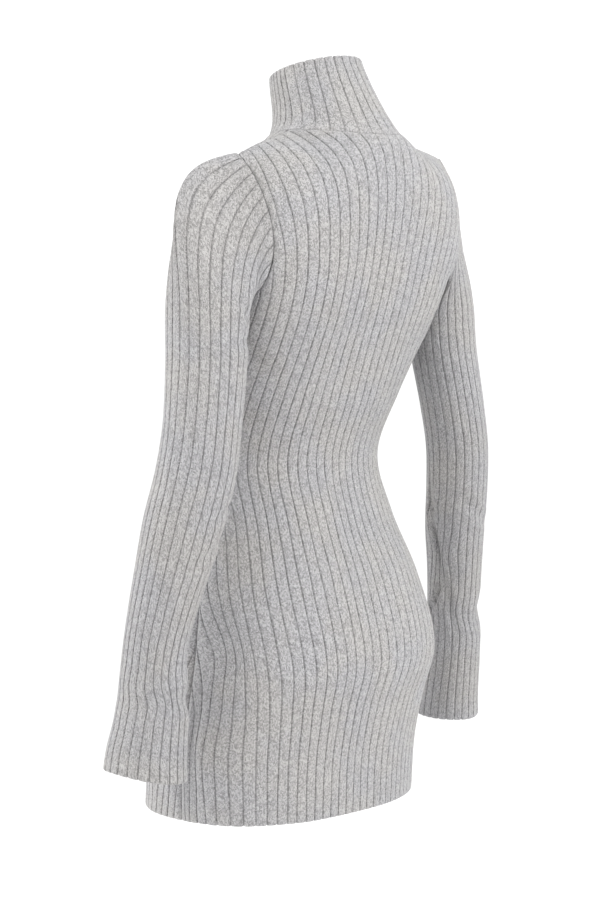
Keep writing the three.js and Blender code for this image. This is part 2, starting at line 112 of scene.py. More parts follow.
# Level sections of the left sleeve; long and short are half widths.
SLEEVE_NAMES = ("up", "across", "back", "long", "short")
SLEEVE_SECTIONS = (
    (-0.215, 0.1990, -0.0015, 0.0445, 0.0365),
    (-0.255, 0.2015, 0.0000, 0.0440, 0.0365),
    (-0.320, 0.2130, 0.0045, 0.0425, 0.0350),
    (-0.370, 0.2230, 0.0046, 0.0435, 0.0340),
    (-0.420, 0.2325, -0.0030, 0.0438, 0.0337),
    (-0.470, 0.2400, -0.0120, 0.0410, 0.0330),
    (-0.520, 0.2500, -0.0200, 0.0370, 0.0305),
    (-0.560, 0.2560, -0.0256, 0.0345, 0.0295),
    (-0.600, 0.2580, -0.0270, 0.0366, 0.0300),
    (-0.640, 0.2580, -0.0300, 0.0395, 0.0315),
    (-0.680, 0.2590, -0.0360, 0.0435, 0.0330),
    (-0.704, 0.2590, -0.0380, 0.0460, 0.0345),
)
SLEEVE_TURN = math.radians(115)
SLEEVE_RIBS = 24
CAP_STATIONS = 12
CAP_FIRST_STEP = 0.005
CAP_LEAVE = (0.7, 1.4)
CAP_ARRIVE = (1.0, 1.65)
CAP_LIFT = 0.10
CAP_FORWARD = math.radians(30)
CAP_LEAN_POWER = 0.8

# The cuff's hem rises on the outer side of the arm, from the narrow wrist down.
CUFF_RISE = 0.011
CUFF_RISE_RIB = 13.5
CUFF_RISE_REACH = 8
CUFF_RISE_TOP = -0.58

COLLAR_RIBS = 36
NECK_RIBS = 30
COLLAR_RADIUS = 0.0505
COLLAR_BACK = -0.024
COLLAR_UP = 0.066
COLLAR_TILT = 0.25
COLLAR_LEAVE = 0.066
COLLAR_ARRIVE = 0.070
NECK_SEAM_GAP = 0.0004

# One rib across: where its columns stand between two grooves, and how high.
RIB_STEPS = (0.0, 0.04, 0.10, 0.23, 0.5, 0.77, 0.90, 0.96)
RIB_HEIGHTS = (0.0, 0.50, 0.84, 0.96, 1.0, 0.96, 0.84, 0.50)
INNER_STEP = 4

# Rows along each piece, and the heights of the rows next to a cut edge.
SKIRT_ROWS = 136
TOP_ROWS = 58
CAP_ROWS = 40
ARM_ROWS = 122
COLLAR_ROWS = 30
HEM_EDGE_LEVELS = (0, 0.0008, 0.002, 0.004)
HEM_EDGE_END = 0.006
CUFF_EDGE_HEIGHTS = (0.004, 0.002, 0.0008, 0)
COLLAR_FOOT_SHARES = (0, 0.008, 0.02)
COLLAR_RIM_SHARES = (0.985, 0.994, 1)
ARCH_POINTS = 401
NORMAL_POINTS = 361

# The smoothing of the panels' rows where the body ends and the shoulders start.
EASE_ROWS = 14
EASE_SPREAD = 6.5
EASE_REACH = 0.16


def unit(v):
    return v / np.maximum(np.linalg.norm(v, axis=-1, keepdims=True), 1e-12)


def smooth_step(low, high, value):
    t = np.clip((value - low) / (high - low), 0, 1)
    return t * t * (3 - 2 * t)


def blend(start, leave, end, arrive, t):
    t2, t3 = t * t, t * t * t
    return (
        (2 * t3 - 3 * t2 + 1) * start + (t3 - 2 * t2 + t) * leave
        + (3 * t2 - 2 * t3) * end + (t3 - t2) * arrive
    )


def read_section(names, table, up):
    """The table's values at any height, along a smooth curve."""
    k = 0
    while k < len(table) - 2 and up < table[k + 1][0]:
        k += 1
    last = len(table) - 1
    rows = np.array([table[max(k - 1, 0)], table[k], table[k + 1], table[min(k + 2, last)]])
    span = rows[2, 0] - rows[1, 0]
    enter = (rows[2] - rows[0]) / (rows[2, 0] - rows[0, 0]) * span
    leave = (rows[3] - rows[1]) / (rows[3, 0] - rows[1, 0]) * span
    return dict(zip(names, blend(rows[1], enter, rows[2], leave, (up - rows[1, 0]) / span)))


def body_section(up):
    return read_section(BODY_NAMES, BODY_SECTIONS, up)


def neck_seam(panel, turn):
    """Points of the neck seam: turn 0 is the shoulder seam, 1 the centre line."""
    angle = np.asarray(turn, float) * math.pi / 2
    across = NECK_HALF_WIDTH * np.cos(angle)
    back = panel["sign"] * panel["neck_depth"] * np.sin(angle)
    up = NECK_SIDE_UP + NECK_FRONT_TILT * np.minimum(back, 0)
    up = up - NECK_FRONT_DIP * np.maximum(-back / NECK_FRONT_DEPTH, 0) ** 4
    up = up - NECK_BACK_DIP * np.maximum(back / NECK_BACK_DEPTH, 0) ** 2
    return np.stack([across, back, up], -1)


def top_edge(panel, share):
    rib = share * panel["top_ribs"]
    neck = neck_seam(panel, 1 - np.minimum(rib / panel["neck_ribs"], 1))
    along = (rib - panel["neck_ribs"]) / (panel["top_ribs"] - panel["neck_ribs"])
    along = np.clip(along, 0, 1)[..., None]
    return neck + (SHOULDER_TIP - NECK_POINT) * along


ARCHES = {}


def arch_row(panel, level):
    """One cross row of a panel as an arch: level 0 is the hem, 1 the underarm, 2 the top."""
    key = (panel["name"], round(level, 7))
    if key in ARCHES:
        return ARCHES[key]
    if level <= 1:
        section = body_section(HEM + (UNDERARM - HEM) * level)
        middle = section["centre"] + panel["sign"] * section[panel["depth"]]
        row = {
            "edge": np.array([section["half"], section["centre"], section["up"]]),
            "centre": np.array([0, middle, section["up"]]),
            "stretch": 1.0, "power": section["power"], "ribs": section[panel["ribs"]], "rise": 0.0,
        }
    else:
        t = level - 1
        low = body_section(UNDERARM)
        underarm = np.array([low["half"], low["centre"], low["up"]])
        low_centre = np.array([0, low["centre"] + panel["sign"] * low[panel["depth"]], low["up"]])
        edge = blend(
            underarm, np.array(panel["armhole_leave"]), SHOULDER_TIP, np.array(panel["armhole_arrive"]), t
        )
        centre = blend(
            low_centre, np.array(panel["centre_leave"]),
            neck_seam(panel, 1.0), np.array(panel["centre_arrive"]), t,
        )
        power = low["power"] + (TOP_POWER - low["power"]) * t
        foot = low["centre"] - panel["sign"] * TOP_ARCH_FOOT * smooth_step(0.4, 1, t)
        cut = max((edge[1] - foot) / (centre[1] - foot), 0)
        row = {
            "edge": edge, "centre": centre, "power": power,
            "stretch": (1 - cut ** power) ** (-1 / power),
            "rise": t ** SHOULDER_TURN,
        }
    x = np.sin(np.linspace(0, 1, ARCH_POINTS) * math.pi / 2)
    reach = np.append(x, 1.0) / row["stretch"]
    arch = np.maximum(1 - np.abs(reach) ** row["power"], 0) ** (1 / row["power"])
    y = (arch[:-1] - arch[-1]) / (1 - arch[-1])
    row["x"] = x * row["edge"][0]
    row["y"] = row["edge"][1] + (row["centre"][1] - row["edge"][1]) * y
    steps = np.hypot(np.diff(row["x"]), np.diff(row["y"]))
    row["length"] = np.append(0, np.cumsum(steps))
    if level > 1:
        # The ribs keep an even pitch, so the armhole seam cuts across them.
        low_pitch = rib_pitch(panel, 1.0)
        enter = (low_pitch - rib_pitch(panel, 0.97)) / 0.03 * PITCH_REACH
        whole = row["length"][-1] if t == 1 else arch_row(panel, 2.0)["length"][-1]
        pitch = blend(low_pitch, enter, whole / panel["top_ribs"], 0, t)
        row["ribs"] = row["length"][-1] / pitch
    ARCHES[key] = row
    return row


def rib_pitch(panel, level):
    row = arch_row(panel, level)
    return row["length"][-1] / row["ribs"]


def read_arch(row, share):
    wanted = share * row["length"][-1]
    up = row["edge"][2] + (row["centre"][2] - row["edge"][2]) * (1 - share * share)
    across = np.interp(wanted, row["length"], row["x"])
    back = np.interp(wanted, row["length"], row["y"])
    return np.stack([across, back, up], -1)


def panel_points(panel, share, level):
    """Points of a panel's smooth surface for shares from -1, its right edge, to 1."""
    half = np.abs(share)
    row = arch_row(panel, level)
    points = read_arch(row, half)
    if row["rise"] > 0:
        top = read_arch(arch_row(panel, 2.0), half)
        points = points + (top_edge(panel, half) - top) * row["rise"]
    points[..., 0] *= np.where(share < 0, -1, 1)
    return points


def shoulder_normal(side):
    seam = unit(SHOULDER_TIP - NECK_POINT)
    normal = unit(np.array([0, 0, 1.0]) - seam * seam[2])
    return normal * np.array([side, 1, 1])


def neck_normal(points):
    radial = points / np.array([NECK_HALF_WIDTH, NECK_BACK_DEPTH, 1])
    radial[..., 2] = 0
    radial = unit(radial)
    radial[..., 2] = 0.9 - 0.55 * smooth_step(-0.1, 1, -radial[..., 1])
    return unit(radial)


def side_normal(up):
    above, below = min(up + 0.001, UNDERARM), max(up - 0.001, HEM)
    slope = (body_section(above)["half"] - body_section(below)["half"]) / (above - below)
    return unit(np.array([1, 0, -slope]))


def ripple(a, b, seed):
    """A soft uneven field from -1 to 1 over two lengths."""
    total = 0
    for k in range(1, 5):
        phase = seed * 1.7 + k * 2.399
        total = total + np.sin(a * (0.9 + 0.53 * k) + b * (1.3 - 0.41 * k) + phase) / k
    return total / 2.08


def crease_field(rib, up, creases):
    """Soft troughs with a low ridge on each side, as offsets along the normal.

    Each crease is (rib, up, rib, up, depth, width, ridge), a straight stretch of the cloth.
    """
    total = np.zeros_like(up)
    for rib_a, up_a, rib_b, up_b, depth, width, ridge in creases:
        ax, ay = rib_a * RIB_PITCH, up_a
        bx, by = rib_b * RIB_PITCH, up_b
        px, py = rib * RIB_PITCH - ax, up - ay
        dx, dy = bx - ax, by - ay
        length = math.hypot(dx, dy)
        along = (px * dx + py * dy) / length / length
        bend = width * 0.5 * np.sin(along * math.pi * 1.3 + depth * 4000)
        off = (px * dy - py * dx) / length + bend
        taper = smooth_step(-0.25, 0.3, along) * (1 - smooth_step(0.65, 1.25, along))
        trough = np.exp(-((off / width) ** 2))
        shoulder = np.exp(-(((np.abs(off) - 1.75 * width) / (0.9 * width)) ** 2))
        total += taper * (ridge * shoulder - depth * trough)
    return total


def pushed(rib, up, pushes):
    """How far folds push the ribs sideways, in ribs, from (rib, up, ribs, height, push)."""
    total = 0
    for rib_at, up_at, reach, height, push in pushes:
        total = total + push * np.exp(-(((rib - rib_at) / reach) ** 2) - ((up - up_at) / height) ** 2)
    return total


def rib_columns(first, count):
    steps = [first + k + step for k in range(count) for step in RIB_STEPS]
    heights = list(RIB_HEIGHTS) * count
    return np.array(steps + [first + count]), np.array(heights + [0.0])


def run_lengths(points):
    """The length of cloth up each column, in rib pitches, for the knit pattern."""
    steps = np.linalg.norm(np.diff(points, axis=0), axis=-1)
    return np.concatenate([np.zeros((1, points.shape[1])), np.cumsum(steps, axis=0)]) / RIB_PITCH


def shell(name, outer, inner, rib, run, loop, facing):
    """A closed thin shell from an outer grid and a coarser inner one, as a mesh object."""
    rows, columns = outer.shape[0], outer.shape[1]
    near = inner.shape[1]
    points = np.concatenate([outer.reshape(-1, 3), inner.reshape(-1, 3)])
    inner_rib = rib[:, ::INNER_STEP]
    inner_run = run[:, ::INNER_STEP]
    uv = np.stack([
        np.append(rib.ravel(), inner_rib.ravel()), np.append(run.ravel(), inner_run.ravel())
    ], -1)
    out = np.arange(rows * columns).reshape(rows, columns)
    ins = rows * columns + np.arange(rows * near).reshape(rows, near)
    quads = [
        np.stack([out[:-1, :-1], out[:-1, 1:], out[1:, 1:], out[1:, :-1]], -1).reshape(-1, 4),
        np.stack([ins[:-1, 1:], ins[:-1, :-1], ins[1:, :-1], ins[1:, 1:]], -1).reshape(-1, 4),
    ]
    if not loop:
        quads.append(np.stack([ins[:-1, 0], out[:-1, 0], out[1:, 0], ins[1:, 0]], -1))
        quads.append(np.stack([out[:-1, -1], ins[:-1, -1], ins[1:, -1], out[1:, -1]], -1))
    faces = [list(face) for face in np.concatenate(quads).tolist()]
    for k in range(near - 1):
        start, stop = k * INNER_STEP, (k + 1) * INNER_STEP
        faces.append([ins[0, k], ins[0, k + 1], *out[0, start:stop + 1][::-1]])
        faces.append([ins[-1, k + 1], ins[-1, k], *out[-1, start:stop + 1]])
    keys = np.round(points * 1e6).astype(np.int64)
    _, first, number = np.unique(keys, axis=0, return_index=True, return_inverse=True)
    number = number.ravel().tolist()
    kept, kept_uv, sizes = [], [], []
    for face in faces:
        ring, ring_uv = [], []
        for corner in face:
            merged = number[corner]
            if merged not in ring:
                ring.append(merged)
                ring_uv.append(corner)
        if len(ring) > 2:
            if facing < 0:
                ring.reverse()
                ring_uv.reverse()
            kept.extend(ring)
            kept_uv.extend(ring_uv)
            sizes.append(len(ring))
    mesh = bpy.data.meshes.new(name)
    mesh.vertices.add(len(first))
    mesh.vertices.foreach_set("co", points[first].astype(np.float32).ravel())
    mesh.loops.add(len(kept))
    mesh.loops.foreach_set("vertex_index", np.array(kept, np.int32))
    mesh.polygons.add(len(sizes))
    starts = np.append(0, np.cumsum(sizes)[:-1]).astype(np.int32)
    mesh.polygons.foreach_set("loop_start", starts)
    mesh.update(calc_edges=True)
    mesh.validate()
    mesh.polygons.foreach_set("use_smooth", np.ones(len(mesh.polygons), bool))
    layer = mesh.uv_layers.new(name="knit")
    layer.data.foreach_set("uv", uv[kept_uv].astype(np.float32).ravel())
    mesh.update()
    piece = bpy.data.objects.new(name, mesh)
    bpy.context.scene.collection.objects.link(piece)
    return piece


def edge_rounding(distance):
    """How much of the wall is left, this far from a cut edge of the knit."""
    return np.sqrt(np.clip(distance / EDGE_ROUND, 0, 1))


def scallops(heights, distance):
    """How far the ribs' ends stand past the grooves, this far from a cut edge."""
    return SCALLOP * (heights[None, :] - SCALLOP_FOOT) * np.exp(-((distance / SCALLOP_REACH) ** 2))


def rib_lift(relief):
    return (RIB_RELIEF + GROOVE_DEPTH) * relief - GROOVE_DEPTH


def wall_faces(base, normal, soft, lift, rounding):
    """The outer face with its ribs and the plain inner face of a wall on its smooth form."""
    outside = base + normal * (soft + (lift + GROOVE_WALL) * rounding - GROOVE_WALL)[..., None]
    inside = base + normal * (soft - GROOVE_WALL - GROOVE_DEPTH * 0.5)[..., None]
    return outside, inside


def mirrored(side):
    """Factors that move points or directions of the left half to each point's side."""
    return np.stack([side, 0 * side + 1, 0 * side + 1], -1)


# The panels.
def panel_levels():
    skirt = np.linspace(0, 1, SKIRT_ROWS)[1:-1]
    share = np.linspace(0, 1, TOP_ROWS)
    top = 1 + share * (1 + ARMHOLE_EASE * (1 - share))
    return np.concatenate([HEM_EDGE_LEVELS, skirt[skirt > HEM_EDGE_END], top])


def eased(field, weight):
    """The field with its rows smoothed along the cloth where the weight is high."""
    taps = np.exp(-((np.arange(-EASE_ROWS, EASE_ROWS + 1) / EASE_SPREAD) ** 2) / 2)
    taps /= taps.sum()
    padded = np.pad(field, ((EASE_ROWS, EASE_ROWS), (0, 0), (0, 0)), mode="edge")
    soft = sum(tap * padded[k:k + len(field)] for k, tap in enumerate(taps))
    return field + (soft - field) * weight[..., None]


def build_panel(panel, name, creases, pushes, seed):
    levels = panel_levels()
    shares = np.linspace(-1, 1, NORMAL_POINTS)
    smooth = np.array([panel_points(panel, shares, level) for level in levels])
    normals = np.cross(np.gradient(smooth, axis=1), np.gradient(smooth, axis=0))
    normals = unit(normals) * -panel["sign"]
    ribs, heights = rib_columns(-panel["ribs_half"], panel["ribs_half"] * 2)
    rib_rows, base_rows, normal_rows = [], [], []
    for level, smooth_normals in zip(levels, normals):
        row = arch_row(panel, level)
        half = row["ribs"]
        rib = np.clip(ribs, -half, half)
        up_level = HEM + (UNDERARM - HEM) * level
        inward = np.clip((half - np.abs(rib)) / 2, 0, 1)
        stray = PANEL_STRAY[0] * ripple(rib * 0.35, up_level * 17, seed) * inward
        stray += PANEL_STRAY[1] * ripple(rib * 1.9, up_level * 85, seed + 1) * inward
        stray += pushed(rib, up_level, pushes) * smooth_step(0, 1.6, half - np.abs(rib))
        share = np.clip((rib + stray) / half, -1, 1)
        points = panel_points(panel, share, level)
        normal = np.stack([np.interp(share, shares, smooth_normals[:, k]) for k in range(3)], -1)
        to_own_side = mirrored(np.where(share < 0, -1.0, 1.0))
        if level <= 1:
            edge_normal = side_normal(row["edge"][2]) * to_own_side
            normal += (edge_normal - normal) * smooth_step(0.985, 1, np.abs(share))[:, None]
        else:
            shoulder = shoulder_normal(1) * to_own_side
            neck = neck_normal(top_edge(panel, np.abs(share)) * to_own_side)
            over = smooth_step(-0.4, 0.4, np.abs(rib) - panel["neck_ribs"])[:, None]
            shared = unit(neck + (shoulder - neck) * over)
            normal += (shared - normal) * smooth_step(1.95, 2, level)
        gap = SEAM_GAP / 2 * panel["sign"]
        at_side = (np.abs(share) >= 1) & (level <= 1)
        on_shoulder = (level == levels[-1]) & (np.abs(rib) >= panel["neck_ribs"])
        points[:, 1] += gap * (at_side | on_shoulder)
        rib_rows.append(rib)
        base_rows.append(points)
        normal_rows.append(unit(normal))
    rib = np.array(rib_rows)
    base = np.array(base_rows)
    normal = np.array(normal_rows)
    half = np.array([arch_row(panel, level)["ribs"] for level in levels])[:, None]
    to_side = (half - np.abs(rib)) * RIB_PITCH
    weight = np.exp(-(((levels - 1) / EASE_REACH) ** 4))[:, None] * smooth_step(0.004, 0.05, to_side)
    base = eased(base, weight)
    normal = unit(eased(normal, weight))
    to_top = np.linalg.norm(base - base[-1], axis=-1)
    to_hem = base[:, :, 2] - HEM
    seam = np.minimum(to_side, to_top)
    at_neck = smooth_step(0.5, -0.5, np.abs(rib) - panel["neck_ribs"])
    at_neck = at_neck * (1 - smooth_step(*LINK_REACH, to_top))
    relief = heights[None, :] * smooth_step(0, SEAM_FADE, seam)
    relief += (LINK_HEIGHT - relief) * at_neck
    lift = rib_lift(relief)
    lift -= SEAM_DIP * np.exp(-((seam / SEAM_DIP_REACH) ** 2)) * (1 - 0.7 * at_neck)
    soft = PANEL_WAVE * ripple(rib * 0.45, base[:, :, 2] * 26, seed + 3)
    soft += crease_field(rib, base[:, :, 2], creases)
    soft *= smooth_step(0.0, SOFT_FADE, seam)
    outside, inside = wall_faces(base, normal, soft, lift, edge_rounding(to_hem))
    outside[:, :, 2] -= scallops(heights, to_hem)
    piece = shell(
        name, outside, inside[:, ::INNER_STEP], rib, run_lengths(base), False, -panel["sign"]
    )
    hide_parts(panel["name"])
    return piece


# The sleeves.
def armhole_point(panel, level):
    return arch_row(panel, level)["edge"].copy()


def armhole_normal(panel, level):
    step = 0.004
    edge = panel_points(panel, np.array([1.0, 1 - step]), level)
    above = panel_points(panel, np.array([1.0]), min(level + step, 2.0))[0]
    below = panel_points(panel, np.array([1.0]), max(level - step, 0.0))[0]
    return unit(np.cross(edge[0] - edge[1], above - below)) * -panel["sign"]


def armhole_level(k):
    share = k / CAP_STATIONS
    return 1 + share * (1 + ARMHOLE_EASE * (1 - share))


def cap_stations():
    """The armhole seam's stations, up the back from the underarm and down the front."""
    stations = []
    for k in range(2 * CAP_STATIONS):
        panel = BACK if k < CAP_STATIONS else FRONT
        level = armhole_level(k if k < CAP_STATIONS else 2 * CAP_STATIONS - k)
        rise = level - 1
        if k == 0:
            normal = side_normal(UNDERARM)
        elif k == CAP_STATIONS:
            normal = shoulder_normal(1)
        else:
            normal = armhole_normal(panel, level)
        fold = math.pi / 2 * (1 - float(smooth_step(0.02, panel["cap_fold"], rise)))
        stations.append({
            "point": armhole_point(panel, level), "normal": normal, "rise": rise,
            "fold": fold, "fullness": panel["cap_fullness"] * math.sin(math.pi * rise),
            "lean": panel["cap_lean"],
        })
    return stations


def turned_about_up(v, angle):
    c, s = math.cos(angle), math.sin(angle)
    return np.array([c * v[0] - s * v[1], s * v[0] + c * v[1], v[2]])


def cap_roots():
    stations = cap_stations()
    roots = []
    for k, station in enumerate(stations):
        before = stations[k - 1]["point"]
        after = stations[(k + 1) % len(stations)]["point"]
        tangent = unit(after - before)
        across = unit(np.cross(station["normal"], tangent))
        fold = station["fold"]
        lift = math.sin(fold) + CAP_LIFT * station["rise"]
        lean = station["lean"] * max(1 - station["rise"], 0) ** CAP_LEAN_POWER
        leave = across * math.cos(fold) + station["normal"] * lift - tangent * tangent[2] * lean
        leave = unit(leave)
        leave = turned_about_up(leave, -CAP_FORWARD * station["rise"] ** 2)
        normal = station["normal"] * math.cos(fold) - across * math.sin(fold)
        roots.append(np.concatenate([
            leave, normal, across, [station["rise"], station["fullness"]]
        ]))
    return np.array(roots)


def read_around(values, k):
    """Values known at whole steps round a ring, read smoothly between them."""
    count = len(values)
    low = np.floor(k).astype(int)
    t = (k - low)[:, None]
    rows = [values[(low + d) % count] for d in (-1, 0, 1, 2)]
    return blend(rows[1], (rows[2] - rows[0]) / 2, rows[2], (rows[3] - rows[1]) / 2, t)


def sleeve_ring(up, k):
    section = read_section(SLEEVE_NAMES, SLEEVE_SECTIONS, up)
    local = math.pi - k / SLEEVE_RIBS * 2 * math.pi - SLEEVE_TURN
    long, short = section["long"] * np.cos(local), section["short"] * np.sin(local)
    return np.stack([
        section["across"] + long * math.cos(SLEEVE_TURN) - short * math.sin(SLEEVE_TURN),
        section["back"] + long * math.sin(SLEEVE_TURN) + short * math.cos(SLEEVE_TURN),
        np.full_like(k, up),
    ], -1)


def sleeve_base(k):
    """Rows of the left sleeve's smooth form from the armhole to the cuff."""
    whole = k % SLEEVE_RIBS
    points = []
    for place in whole:
        panel = BACK if place <= CAP_STATIONS else FRONT
        step = place if place <= CAP_STATIONS else SLEEVE_RIBS - place
        points.append(armhole_point(panel, armhole_level(step)))
    fields = read_around(cap_roots(), whole)
    leave, normal, across = unit(fields[:, 0:3]), unit(fields[:, 3:6]), unit(fields[:, 6:9])
    armhole_rise, fullness = fields[:, 9:10], fields[:, 10:11]
    root = np.array(points) + across * SEAM_GAP
    first = root + leave * CAP_FIRST_STEP
    top = SLEEVE_SECTIONS[0][0]
    arm = sleeve_ring(top, whole)
    below = sleeve_ring(top - 0.010, whole)
    reach = np.linalg.norm(arm - first, axis=-1, keepdims=True)
    leaving = (CAP_LEAVE[0] + (CAP_LEAVE[1] - CAP_LEAVE[0]) * armhole_rise + fullness) * reach
    arriving = (CAP_ARRIVE[0] + (CAP_ARRIVE[1] - CAP_ARRIVE[0]) * armhole_rise + fullness) * reach
    rows = [root, root + leave * CAP_FIRST_STEP * 0.33, root + leave * CAP_FIRST_STEP * 0.66]
    for t in np.linspace(0, 1, CAP_ROWS)[:-1]:
        rows.append(blend(first, leave * leaving, arm, unit(below - arm) * arriving, t))
    cuff = SLEEVE_SECTIONS[-1][0]
    edge = [cuff + rise for rise in CUFF_EDGE_HEIGHTS]
    heights = np.append(np.linspace(top, edge[0], ARM_ROWS), edge[1:])
    for up in heights:
        rows.append(sleeve_ring(up, whole))
    return np.array(rows), normal


def strayed(rows, k, stray):
    """Rows of a tube with every column moved a little round it."""
    moved = np.empty_like(rows)
    whole = k[-1]
    for row, place, source in zip(moved, k + stray, rows):
        for axis in range(3):
            row[:, axis] = np.interp(place, k, source[:, axis], period=whole)
    return moved


def tube_normals(rows):
    around = np.roll(rows[:, :-1], -1, axis=1) - np.roll(rows[:, :-1], 1, axis=1)
    around = np.concatenate([around, around[:, :1]], axis=1)
    return unit(np.cross(around, np.gradient(rows, axis=0)))


def build_sleeve(name, node, side, creases, pushes, seed):
    k, heights = rib_columns(0, SLEEVE_RIBS)
    base, root_normal = sleeve_base(k)
    turn = k / SLEEVE_RIBS * 2 * math.pi
    stray = SLEEVE_STRAY[0] * ripple(np.sin(turn) * 1.6, base[:, :, 2] * 22, seed)
    stray += SLEEVE_STRAY[1] * ripple(np.cos(turn) * 9, base[:, :, 2] * 90, seed + 2)
    for whole_turn in (-SLEEVE_RIBS, 0, SLEEVE_RIBS):
        stray += pushed(k + whole_turn, base[:, :, 2], pushes)
    stray *= smooth_step(0.01, 0.06, np.linalg.norm(base - base[0], axis=-1))
    base = strayed(base, k, stray)
    lobe = np.clip(np.abs(k - CUFF_RISE_RIB) / CUFF_RISE_REACH, 0, 1)
    cuff_rise = CUFF_RISE * np.cos(lobe * math.pi / 2) ** 2
    cuff = SLEEVE_SECTIONS[-1][0]
    base[:, :, 2] += cuff_rise * smooth_step(CUFF_RISE_TOP, cuff, base[:, :, 2])
    normal = tube_normals(base)
    share = smooth_step(0, 6, np.arange(len(base)))[:, None, None]
    normal = unit(root_normal + (normal - root_normal) * share)
    to_root = np.linalg.norm(base - base[0], axis=-1)
    to_cuff = np.linalg.norm(base - base[-1], axis=-1)
    lift = rib_lift(heights[None, :] * smooth_step(0, SEAM_FADE, to_root))
    lift -= SEAM_DIP * np.exp(-((to_root / SEAM_DIP_REACH) ** 2))
    soft = TUBE_WAVE * ripple(np.sin(turn) * 2.2, base[:, :, 2] * 30, seed)
    for whole_turn in (-SLEEVE_RIBS, 0, SLEEVE_RIBS):
        rib = np.broadcast_to(k + whole_turn, to_root.shape)
        soft += crease_field(rib, base[:, :, 2], creases)
    soft *= smooth_step(0.0, SOFT_FADE, to_root)
    outside, inside = wall_faces(base, normal, soft, lift, edge_rounding(to_cuff))
    outside[:, :, 2] -= scallops(heights, to_cuff)
    outside[:, -1] = outside[:, 0]
    inside[:, -1] = inside[:, 0]
    mirror = np.array([side, 1, 1])
    rib = np.broadcast_to(k, to_root.shape)
    piece = shell(
        name, outside * mirror, inside[:, ::INNER_STEP] * mirror, rib, run_lengths(base), True, side
    )
    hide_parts(node)
    return piece


# The standing collar.
def build_collar(name, node):
    k, heights = rib_columns(0, COLLAR_RIBS)
    place = k * NECK_RIBS / COLLAR_RIBS
    back_ribs = 2 * BACK["neck_ribs"]
    on_back = place <= back_ribs
    back_rib = BACK["neck_ribs"] - place
    front_rib = place - back_ribs - FRONT["neck_ribs"]
    back = top_edge(BACK, np.minimum(np.abs(back_rib), BACK["neck_ribs"]) / BACK["top_ribs"])
    front = top_edge(FRONT, np.minimum(np.abs(front_rib), FRONT["neck_ribs"]) / FRONT["top_ribs"])
    back[:, 0] *= np.where(back_rib < 0, -1, 1)
    front[:, 0] *= np.where(front_rib < 0, -1, 1)
    seam = np.where(on_back[:, None], back, front)
    seam_normal = neck_normal(seam)
    shoulder = shoulder_normal(1) * mirrored(np.sign(seam[:, 0]))
    near = np.exp(-((seam[:, 1] / 0.006) ** 2))[:, None]
    seam_normal = unit(seam_normal + shoulder * near)
    leave = unit(np.array([0, 0, 1.0]) - seam_normal * seam_normal[:, 2:3])
    foot = seam + leave * NECK_SEAM_GAP
    radial = unit(seam * np.array([1, 1, 0]))
    rim = radial * COLLAR_RADIUS
    rim[:, 2] = COLLAR_UP + COLLAR_TILT * rim[:, 1]
    rim[:, 1] += COLLAR_BACK
    arrive = unit(unit(rim - foot) + np.array([0, 0, 0.6]))
    steps = np.concatenate([
        COLLAR_FOOT_SHARES, np.linspace(0.045, 0.97, COLLAR_ROWS), COLLAR_RIM_SHARES
    ])
    base = np.array([
        blend(foot, leave * COLLAR_LEAVE, rim, arrive * COLLAR_ARRIVE, t) for t in steps
    ])
    normal = tube_normals(base)
    share = smooth_step(0, 5, np.arange(len(base)))[:, None, None]
    normal = unit(seam_normal + (normal - seam_normal) * share)
    to_seam = np.linalg.norm(base - base[0], axis=-1)
    to_rim = np.linalg.norm(base - base[-1], axis=-1)
    worn = smooth_step(0.002, 0.016, to_seam)
    lift = rib_lift(LINK_HEIGHT + (heights[None, :] - LINK_HEIGHT) * worn)
    lift -= 0.3 * SEAM_DIP * np.exp(-((to_seam / 0.0015) ** 2))
    soft = TUBE_WAVE * ripple(np.sin(k / COLLAR_RIBS * 2 * math.pi) * 2, base[:, :, 2] * 40, 8)
    soft *= smooth_step(0.0, 0.01, to_seam)
    outside, inside = wall_faces(base, normal, soft, lift, edge_rounding(to_rim))
    outside[:, :, 2] += scallops(heights, to_rim)
    outside[:, -1] = outside[:, 0]
    inside[:, -1] = inside[:, 0]
    rib = np.broadcast_to(k, to_seam.shape)
    piece = shell(name, outside, inside[:, ::INNER_STEP], rib, run_lengths(base), True, 1)
    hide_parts(node)
    return piece


# The marl knit material. Scales count ribs, and shares are of the base colour.
FLECK_SCALE = 18.0
FINE_SCALE = 34.0
CLOUD_SCALE = 16.0
FLECK_STRETCH = (1.0, 0.55, 1.0)
WALES = 4.0
COURSES = 5.2
COURSE_SLANT = 0.8
YARN_ACROSS = 11.0
YARN_ALONG = 1.5
FLECK_TONE = 0.36
YARN_TONE = 0.72
FINE_TONE = 0.5
CLOUD_TONE = 0.12
# Painted highlight on the stitch tops and painted shade between the stitches.
STITCH_PAINTED_SHADE = 0.12
GROOVE_RAGGED = 0.30
GROOVE_FROM = 0.80
# Painted shade in the grooves, from the lightest rib to the darkest.
GROOVE_PAINTED_SHADE = (0.13, 0.25)
COOL_GREY = (0.292, 0.289, 0.296, 1)
WARM_GREY = (0.299, 0.291, 0.285, 1)
BUMP_HEIGHT = 0.0006


def link_value(nodes, links, operation, first, second=None):
    node = nodes.new("ShaderNodeMath")
    node.operation = operation
    for socket, value in zip(node.inputs, (first, second)):
        if value is None:
            continue
        if isinstance(value, (int, float)):
            socket.default_value = value
        else:
            links.new(value, socket)
    return node.outputs[0]


def ranged(nodes, links, value, low, high, to_low, to_high):
    node = nodes.new("ShaderNodeMapRange")
    node.interpolation_type = "SMOOTHSTEP"
    links.new(value, node.inputs["Value"])
    node.inputs["From Min"].default_value = low
    node.inputs["From Max"].default_value = high
    node.inputs["To Min"].default_value = to_low
    node.inputs["To Max"].default_value = to_high
    return node.outputs["Result"]


